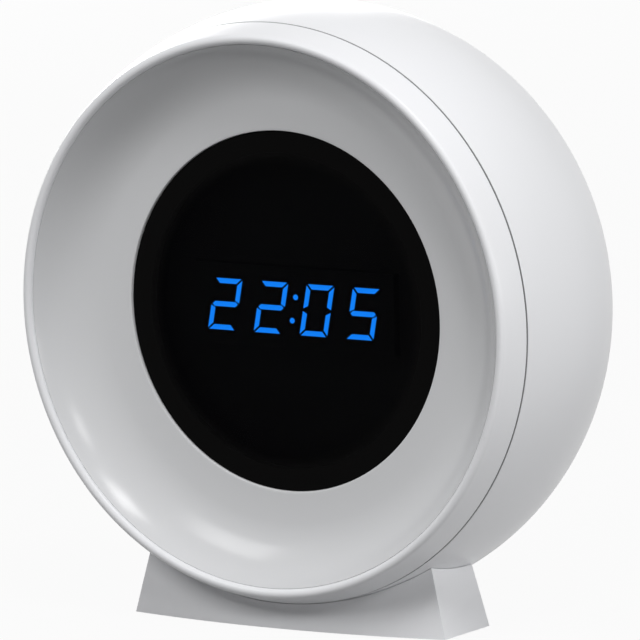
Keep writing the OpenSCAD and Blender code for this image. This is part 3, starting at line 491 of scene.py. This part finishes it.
def slab(name, points, depth):
    """A flat outline pulled backwards by a depth."""
    piece = draw(name, points)
    bpy.ops.mesh.edge_face_add()
    bpy.ops.mesh.extrude_region_move(TRANSFORM_OT_translate={"value": (0, depth / 1000, 0)})
    close_mesh()
    return piece


def slot_outline(x, rise, d, width, height, round_r, count=10):
    """Points of an upright rectangle with rounded corners at a depth behind the lip."""
    points = []
    for cx, cz, start in ((1, 1, 0), (-1, 1, 90), (-1, -1, 180), (1, -1, 270)):
        for i in range(count + 1):
            t = radians(start + 90 * i / count)
            points.append((x + cx * (width / 2 - round_r) + round_r * cos(t), front_y + d,
                           axis_h + rise + cz * (height / 2 - round_r) + round_r * sin(t)))
    return points + points[:1]


button_r, button_gap = 4.0, 0.25
button_rise, button_pitch, button_count = 18, 14, 4
button_xs = [button_pitch * (i - (button_count - 1) / 2) for i in range(button_count)]
sound_r, sound_pitch, sound_x, sound_rise = 0.7, 2.6, 17, -13
head_h, head_proud = 1.4, 0.5
screw_inset = 3.6
screw_ring_r = panel_r - screw_inset
screw_hole_r, screw_sink_r = 1.5, 2.55
screw_sink_d = panel_face_d + head_proud - head_h
door_r, door_gap, door_x, door_rise = 12.0, 0.2, -13, -5
knob_w, slide_travel, slide_gap, slide_x, slide_rise = 3.0, 3.0, 0.2, 20, 3
slide_slot_round = 0.3
inlet_w, inlet_h, inlet_gap, inlet_rise = 8.9, 3.2, 0.3, -29.8
screw_turns = [radians(a) for a in (45, 135, 225, 315)]
screw_spots = [(screw_ring_r * cos(t), screw_ring_r * sin(t)) for t in screw_turns]
sound_turns = [radians(a) for a in range(0, 360, 60)]
sound_spots = [(sound_x, sound_rise)]
sound_spots += [(sound_x + sound_pitch * cos(t), sound_rise + sound_pitch * sin(t)) for t in sound_turns]
counterbore = [(0, bore_start_d), (screw_hole_r, bore_start_d), (screw_hole_r, screw_sink_d),
               (screw_sink_r, screw_sink_d), (screw_sink_r, bore_end_d), (0, bore_end_d)]
slide_slot = slot_outline(slide_x + slide_travel / 2, slide_rise, bore_start_d,
                          knob_w + slide_travel + 2 * slide_gap, knob_w + 2 * slide_gap, slide_slot_round, 3)
inlet_slot = slot_outline(0, inlet_rise, bore_start_d, inlet_w + 2 * inlet_gap, inlet_h + 2 * inlet_gap,
                          inlet_h / 2 + inlet_gap)
panel_outline = [(0, panel_d), (panel_r, panel_d), (panel_r, panel_face_d), (0, panel_face_d)]
rear_panel = turned("back_panel", panel_outline, steps=192)
openings = [bore(x, button_rise, button_r + button_gap, 64) for x in button_xs]
openings += [bore(x, rise, sound_r, 24) for x, rise in sound_spots]
openings += [turned("opening", counterbore, on_panel(x, rise), steps=48) for x, rise in screw_spots]
openings += [bore(door_x, door_rise, door_r + door_gap, 128)]
openings += [slab("opening", outline, bore_end_d - bore_start_d) for outline in (slide_slot, inlet_slot)]
cut(rear_panel, *openings)
soften(rear_panel, panel_round)
fit(rear_panel, panel_white, "clock", "shell_white", "rear_panel")


# Buttons: four round keys for setting the clock and the light, each with a shallow finger dish, a flange
# behind the panel and a stem to its switch. Moulded in satin grey-white plastic.
satin_key = moulded("satin_key", (0.62, 0.63, 0.65), rough=0.4, grain=0.3)
button_seat, button_proud = 0.1, 0.8
flange_r, flange_t = 5.0, 1.0
flange_d = panel_d - button_seat - flange_t
stem_r, stem_len = 1.75, 0.6
stem_d = flange_d - stem_len
cap_d = panel_face_d + button_proud
cap_round, wall_margin = 0.35, 0.05
finger_r, finger_sink = 3.4, 0.25


def copied(piece, name, shift):
    """A copy of a piece with its own mesh, moved by a shift in millimetres."""
    bpy.ops.object.select_all(action="DESELECT")
    piece.select_set(True)
    bpy.context.view_layer.objects.active = piece
    bpy.ops.object.duplicate(linked=False)
    copy = bpy.context.object
    copy.name = name
    copy.data.name = name
    copy.location = Vector(shift) / 1000
    bpy.ops.object.transform_apply(location=True, rotation=True, scale=True)
    return copy


finger_dish = [(r, cap_d - finger_sink * (1 - (r / finger_r) ** 2)) for r in (3.2, 2.4, 1.4, 0)]
key_outline = [
    (0, stem_d), (stem_r, stem_d), (stem_r, flange_d), (flange_r, flange_d),
    (flange_r, flange_d + flange_t), (button_r, flange_d + flange_t),
    (button_r, cap_d - cap_round - wall_margin),
    *arc((button_r - cap_round, cap_d - cap_round), cap_round, 0, 90, 6), *finger_dish]
set_key = turned("set_key", key_outline, on_panel(button_xs[0], button_rise), steps=96)
keys = [set_key]
for name, x in zip(("up_key", "down_key", "light_key"), button_xs[1:]):
    keys.append(copied(set_key, name, (x - button_xs[0], 0, 0)))
for key, body in zip(keys, ("set_button", "up_button", "down_button", "light_button")):
    fit(key, satin_key, body, "key_grey", body)


# Slide knob: the small black finger of the alarm switch, with three grip grooves across it, on a plate
# that runs behind the panel. Moulded in one piece with its stem, and caught by the switch below.
knob_plastic = moulded("knob_plastic", (0.012, 0.012, 0.013), rough=0.45, grain=0.3)
knob_proud, knob_corner, knob_round = 0.7, 0.35, 0.08
knob_top_d = panel_face_d + knob_proud
knob_plate_t, knob_plate_w, knob_plate_corner = 0.8, 5.4, 0.3
knob_plate_l = knob_w + slide_travel + 2
knob_plate_d = panel_d - slide_gap - knob_plate_t
knob_d = knob_plate_d + knob_plate_t / 2
knob_stem_d, knob_stem_overlap, knob_stem_corner = 44.2, 0.1, 0.2
knob_stem_t = knob_plate_d + knob_stem_overlap - knob_stem_d
groove_sink, groove_w, groove_pitch, groove_corner = 0.35, 0.36, 0.8, 0.05
groove_d = knob_top_d - groove_sink
knob_outline = slot_outline(slide_x, slide_rise, knob_d, knob_w, knob_w, knob_corner, 4)
slide_knob = slab("alarm_knob", knob_outline, knob_top_d - knob_d)
for step in (-1, 0, 1):
    groove_x = slide_x + step * groove_pitch
    groove = slot_outline(groove_x, slide_rise, groove_d, groove_w, knob_w + 1, groove_corner, 2)
    cut(slide_knob, slab("groove", groove, 1))
soften(slide_knob, knob_round)
plate_outline = slot_outline(slide_x, slide_rise, knob_plate_d, knob_plate_l, knob_plate_w,
                             knob_plate_corner, 3)
knob_plate = slab("knob_plate", plate_outline, knob_plate_t)
stem_outline = slot_outline(slide_x, slide_rise, knob_stem_d, knob_w, knob_w / 2, knob_stem_corner, 3)
knob_stem = slab("knob_stem", stem_outline, knob_stem_t)


def joined(piece, *extras):
    """Makes extra meshes part of a piece."""
    bpy.ops.object.select_all(action="DESELECT")
    for part in (*extras, piece):
        part.select_set(True)
    bpy.context.view_layer.objects.active = piece
    bpy.ops.object.join()


joined(slide_knob, knob_plate, knob_stem)
fit(slide_knob, knob_plastic, "slide_knob", "knob_black", "slide_knob")


# Power inlet: a drawn metal shell with rounded ends and a contact tongue in its mouth, soldered to the
# control board and reached through the panel.
inlet_d, inlet_step = 40.0, 0.3
inlet_len = panel_face_d - inlet_step - inlet_d
inlet_wall, inlet_floor, inlet_round = 0.3, 1.3, 0.08
tongue_w, tongue_t, tongue_corner, tongue_inset = 6.5, 0.7, 0.3, 1.0
shell_outline = slot_outline(0, inlet_rise, inlet_d, inlet_w, inlet_h, inlet_h / 2)
inlet_shell = slab("inlet_shell", shell_outline, inlet_len)
mouth_w, mouth_h = inlet_w - 2 * inlet_wall, inlet_h - 2 * inlet_wall
mouth = slot_outline(0, inlet_rise, inlet_d + inlet_floor, mouth_w, mouth_h, mouth_h / 2)
cut(inlet_shell, slab("mouth", mouth, inlet_len))
soften(inlet_shell, inlet_round)
tongue_outline = slot_outline(0, inlet_rise, inlet_d + tongue_inset, tongue_w, tongue_t, tongue_corner, 3)
inlet_tongue = slab("inlet_tongue", tongue_outline, inlet_len - 2 * tongue_inset)
joined(inlet_shell, inlet_tongue)
fit(inlet_shell, drawn_shell, "clock", "metal_shell", "power_inlet")


# Cell door: a round bayonet cap over the backup cell, turned by a coin in its slot. Moulded in the
# panel's plastic, and locked by its lugs in a pocket behind the panel.
door_step, door_ring_w, door_round = 0.1, 1.6, 0.2
door_d, door_face_d = panel_d + door_step, panel_face_d - door_step
door_collar_len = 2.4
door_collar_r = door_r - door_ring_w - door_gap
door_collar_d = panel_d - door_collar_len
coin_slot_l, coin_slot_w, coin_slot_sink, coin_slot_corner = 14.0, 1.8, 0.8, 0.6
door_outline = [(0, door_collar_d), (door_collar_r, door_collar_d), (door_collar_r, door_d),
                (door_r, door_d), (door_r, door_face_d), (0, door_face_d)]
cell_door = turned("coin_cap", door_outline, on_panel(door_x, door_rise), steps=128)
coin_slot = slot_outline(door_x, door_rise, door_face_d - coin_slot_sink, coin_slot_l, coin_slot_w,
                         coin_slot_corner, 6)
cut(cell_door, slab("coin_slot", coin_slot, 2))
soften(cell_door, door_round)
fit(cell_door, panel_white, "cell_door", "shell_white", "cell_door")


# Stand: a low block with leaning ends and slightly bulging front and rear faces, hollowed to the ball.
# Moulded in the same white, a little less polished, and screwed to the ball from below.
stand_plastic = moulded("stand_plastic", (0.82, 0.825, 0.845), rough=0.36, grain=0.12, gloss=0.12)
foot_z = 0.4
stand_half_w, stand_block_h = 36.1, 22.0
corner_front_d, corner_back_d, stand_bow = 8.2, 24.8, 3.6
stand_front_d, stand_back_d = corner_front_d - stand_bow, corner_back_d + stand_bow
end_lean, face_lean = 14.3, 7.5
bow_radius = (stand_half_w ** 2 + stand_bow ** 2) / (2 * stand_bow)
middle_y = front_y + (stand_front_d + stand_back_d) / 2
saddle_gap, stand_round = 0.1, 0.22
bow_half_w, bow_count = stand_half_w + 1.9, 64
bow_xs = [bow_half_w * (2 * i / bow_count - 1) for i in range(bow_count + 1)]


def bow_at(x):
    return bow_radius - sqrt(bow_radius ** 2 - x * x)


front_edge = [(x, front_y + stand_front_d + bow_at(x), foot_z) for x in bow_xs]
rear_edge = [(x, front_y + stand_back_d - bow_at(x), foot_z) for x in reversed(bow_xs)]
stand = draw("cradle_stand", front_edge + rear_edge + front_edge[:1])
bpy.ops.mesh.edge_face_add()
bpy.ops.mesh.extrude_region_move(TRANSFORM_OT_translate={"value": (0, 0, stand_block_h / 1000)})
for side in (1, -1):
    bpy.ops.mesh.select_all(action="DESELECT")
    bpy.ops.object.mode_set(mode="OBJECT")
    for v in stand.data.vertices:
        v.select = v.co.z > stand_block_h / 1000 and (v.co.y < middle_y / 1000) == (side > 0)
    bpy.ops.object.mode_set(mode="EDIT")
    bpy.ops.mesh.select_mode(type="VERT")
    bpy.ops.transform.translate(value=(0, side * stand_block_h / 1000 * tan(radians(face_lean)), 0))
for side in (-1, 1):
    bpy.ops.mesh.select_all(action="SELECT")
    end_foot = (side * stand_half_w / 1000, 0, foot_z / 1000)
    end_facing = (side * cos(radians(end_lean)), 0, sin(radians(end_lean)))
    bpy.ops.mesh.bisect(plane_co=end_foot, plane_no=end_facing, use_fill=True, clear_outer=True)
close_mesh()
ball_outline = [*arc((0, equator_d), ball_r + saddle_gap, -90, 0, 120),
                *arc(shoulder_c, shoulder_r + saddle_gap, 0, 90, 80),
                (0, equator_d + shoulder_r + saddle_gap)]
pad_r, pad_t = 3.0, 1.0
pad_spots = ((-29.3, -13.0), (29.3, -13.0), (-16, -1.1), (16, -1.1))
pad_seat = [(0, -pad_t), (pad_r, -pad_t), (pad_r, pad_t), (0, pad_t)]
stand_screw_x, stand_screw_y = 24, -4.2
head_recess, stand_hole_h = 0.5, 20
stand_sink_h = foot_z + head_recess + head_h
screw_seat = [(0, -pad_t), (screw_sink_r, -pad_t), (screw_sink_r, stand_sink_h),
              (screw_hole_r, stand_sink_h), (screw_hole_r, stand_hole_h), (0, stand_hole_h)]
stand_holes = [turned("ball_cut", ball_outline, steps=512)]
stand_holes += [turned("pad_seat", pad_seat, (x, y, 0), (0, 0, 1), 64) for x, y in pad_spots]
stand_holes += [turned("screw_seat", screw_seat, (x, stand_screw_y, 0), (0, 0, 1), 48)
                for x in (-stand_screw_x, stand_screw_x)]
cut(stand, *stand_holes)
soften(stand, stand_round, 40)
fit(stand, stand_plastic, "clock", "stand_white", "stand")


# Foot pads: four soft dark grey rubber discs with a rounded lower edge, pressed into seats on the
# underside of the stand.
soft_rubber = moulded("soft_rubber", (0.035, 0.035, 0.037), rough=0.75, grain=0.6, gloss=0.2)
pad_round, pad_margin = 0.3, 0.1
pad_outline = [(0, 0), (pad_r - pad_round - pad_margin, 0),
               *arc((pad_r - pad_round, pad_round), pad_round, -90, 0, 4), (pad_r, pad_t), (0, pad_t)]
pad_x, pad_y = pad_spots[0]
first_pad = turned("foot_pad_1", pad_outline, (pad_x, pad_y, 0), (0, 0, 1), 48)
pads = [first_pad]
for i, (x, y) in enumerate(pad_spots[1:]):
    pads.append(copied(first_pad, "foot_pad_%d" % (i + 2), (x - pad_x, y - pad_y, 0)))
for pad in pads:
    fit(pad, soft_rubber, "clock", "pad_rubber", "foot_pads")


# Screws: cross-head steel screws that hold the panel and the stand. Cold-headed, with a rolled shank,
# plated, and driven into bosses of the housing.
head_r, head_round, screw_round = 2.2, 0.45, 0.05
shank_r, tip_r, tip_round, tip_cone = 1.15, 0.6, 0.1, 0.8
cross_l, cross_w, cross_h, cross_lift = 2.3, 0.58, 1.5, 0.05


def cross_screw(name, foot, axis, top, shank):
    """A cross-head screw whose head faces along the axis."""
    under = top - head_h
    tip = under - shank
    outline = [(0, tip), (tip_r, tip + tip_round), (shank_r, tip + tip_cone), (shank_r, under),
               (head_r, under), *arc((head_r - head_round, top - head_round), head_round, 0, 90, 5), (0, top)]
    piece = turned(name, outline, foot, axis, 48)
    for wide, high in ((cross_l, cross_w), (cross_w, cross_l)):
        bpy.ops.object.select_all(action="DESELECT")
        middle = (Vector(foot) + (top + cross_lift) * Vector(axis)) / 1000
        bpy.ops.mesh.primitive_cube_add(size=0.001, location=middle)
        bar = bpy.context.object
        bar.scale = (wide, cross_h, high) if axis[1] else (wide, high, cross_h)
        bpy.ops.object.transform_apply(location=True, rotation=True, scale=True)
        cut(piece, bar)
    soften(piece, screw_round, 45)
    return piece


screw_x, screw_rise = screw_spots[0]
panel_top_d = panel_face_d + head_proud
first_screw = cross_screw("panel_screw_1", on_panel(screw_x, screw_rise), (0, 1, 0), panel_top_d, shank=5.5)
panel_screws = [first_screw]
for i, (x, rise) in enumerate(screw_spots[1:]):
    shift = (x - screw_x, 0, rise - screw_rise)
    panel_screws.append(copied(first_screw, "panel_screw_%d" % (i + 2), shift))
for screw in panel_screws:
    fit(screw, plated_steel, "clock", "screw_steel", "panel_screws")
left_spot = (-stand_screw_x, stand_screw_y, 0)
stand_top_d = -foot_z - head_recess
left_screw = cross_screw("stand_screw_1", left_spot, (0, 0, -1), stand_top_d, shank=10.0)
right_screw = copied(left_screw, "stand_screw_2", (2 * stand_screw_x, 0, 0))
for screw in (left_screw, right_screw):
    fit(screw, plated_steel, "clock", "screw_steel", "stand_screws")


# Studio: a plain pale floor that turns white for the camera and keeps a shadow, soft lamps round the
# clock, and a long lens at the photograph's angle.
floor_size = 12
floor_tone = 0.3
white_share = 0.95
world_fill = 0.02
bpy.ops.object.select_all(action="DESELECT")
bpy.ops.mesh.primitive_plane_add(size=floor_size)
floor = bpy.context.object
floor.name = "floor"
floor_pale = bpy.data.materials.new("floor_pale")
floor_pale.use_nodes = True
floor_wire = Wire(floor_pale.node_tree)
floor_shader = floor_pale.node_tree.nodes["Principled BSDF"]
floor_shader.inputs["Base Color"].default_value = (floor_tone, floor_tone, floor_tone, 1)
floor_shader.inputs["Roughness"].default_value = 0.9
floor_shader.inputs["Specular IOR Level"].default_value = 0.0


def looked_at(wire):
    """One for rays from the camera, a mirror or a lens, nought for the rays that carry light."""
    camera_ray = wire.node("ShaderNodeLightPath", {}, {}, "Is Camera Ray")
    rays = camera_ray.socket.node.outputs
    mirrored = wire.sum("MAXIMUM", camera_ray, Wire(wire.tree, rays["Is Glossy Ray"]))
    return wire.sum("MAXIMUM", mirrored, Wire(wire.tree, rays["Is Transmission Ray"]))


floor_lit = Wire(floor_wire.tree, floor_shader.outputs[0])
floor_white = floor_wire.node("ShaderNodeEmission", {}, {"Color": (1, 1, 1, 1), "Strength": 1.0})
floor_seen = floor_wire.node("ShaderNodeMixShader", {},
                             {0: looked_at(floor_wire) * white_share, 1: floor_lit, 2: floor_white})
feed(floor_wire, floor_seen, floor_pale.node_tree.nodes["Material Output"].inputs["Surface"])
floor.data.materials.append(floor_pale)

world = bpy.data.worlds.new("studio")
world.use_nodes = True
bpy.context.scene.world = world
world_wire = Wire(world.node_tree)
sky = world.node_tree.nodes["Background"]
sky.inputs["Color"].default_value = (1, 1, 1, 1)
feed(world_wire, looked_at(world_wire) * (1 - world_fill) + world_fill, sky.inputs["Strength"])

lamp_distance = 1.2
lamp_aim = Vector((0, 0, 0.06))


def softbox(name, azimuth, elevation, width, power):
    """A square soft lamp aimed at the clock; azimuth 0 is in front of it and 90 on its right."""
    turn, rise = radians(azimuth), radians(elevation)
    away = Vector((sin(turn) * cos(rise), -cos(turn) * cos(rise), sin(rise)))
    lamp = bpy.data.lights.new(name, "AREA")
    lamp.size = width
    lamp.energy = power
    holder = bpy.data.objects.new(name, lamp)
    bpy.context.scene.collection.objects.link(holder)
    holder.location = lamp_aim + lamp_distance * away
    holder.rotation_mode = "QUATERNION"
    holder.rotation_quaternion = (-away).to_track_quat("-Z", "Y")


softbox("key_light", azimuth=48, elevation=60, width=0.3, power=6.2)
softbox("front_light", azimuth=-26, elevation=41, width=0.45, power=6.0)
softbox("side_light", azimuth=52, elevation=32, width=0.2, power=2.0)
softbox("right_light", azimuth=90, elevation=9, width=0.3, power=5.0)
softbox("rear_light", azimuth=222, elevation=12, width=0.6, power=6.0)

bpy.context.scene.view_settings.view_transform = "Standard"
view_distance = 2.0
view_azimuth, view_elevation, view_roll = radians(32.811), radians(8.858), radians(-1.389)
view_target_d = 0.75
view_target = Vector((0, front_y + view_target_d, axis_h)) / 1000
aim_right, aim_down = 0.011531, 0.000726
lens = bpy.data.cameras.new("camera")
lens.lens = 575.3
lens.sensor_width = 36
lens.clip_end = 20
camera = bpy.data.objects.new("camera", lens)
bpy.context.scene.collection.objects.link(camera)
back = Vector((sin(view_azimuth) * cos(view_elevation), -cos(view_azimuth) * cos(view_elevation),
               sin(view_elevation)))
right = (-back).cross(Vector((0, 0, 1))).normalized()
up = right.cross(-back)
ahead = (-back + (right * aim_right - up * aim_down) / view_distance).normalized()
right = ahead.cross(Vector((0, 0, 1))).normalized()
up = right.cross(ahead)
across = cos(view_roll) * right + sin(view_roll) * up
above = cos(view_roll) * up - sin(view_roll) * right
camera.matrix_world = Matrix((across, above, -ahead)).transposed().to_4x4()
camera.location = view_target + back * view_distance
bpy.context.scene.camera = camera
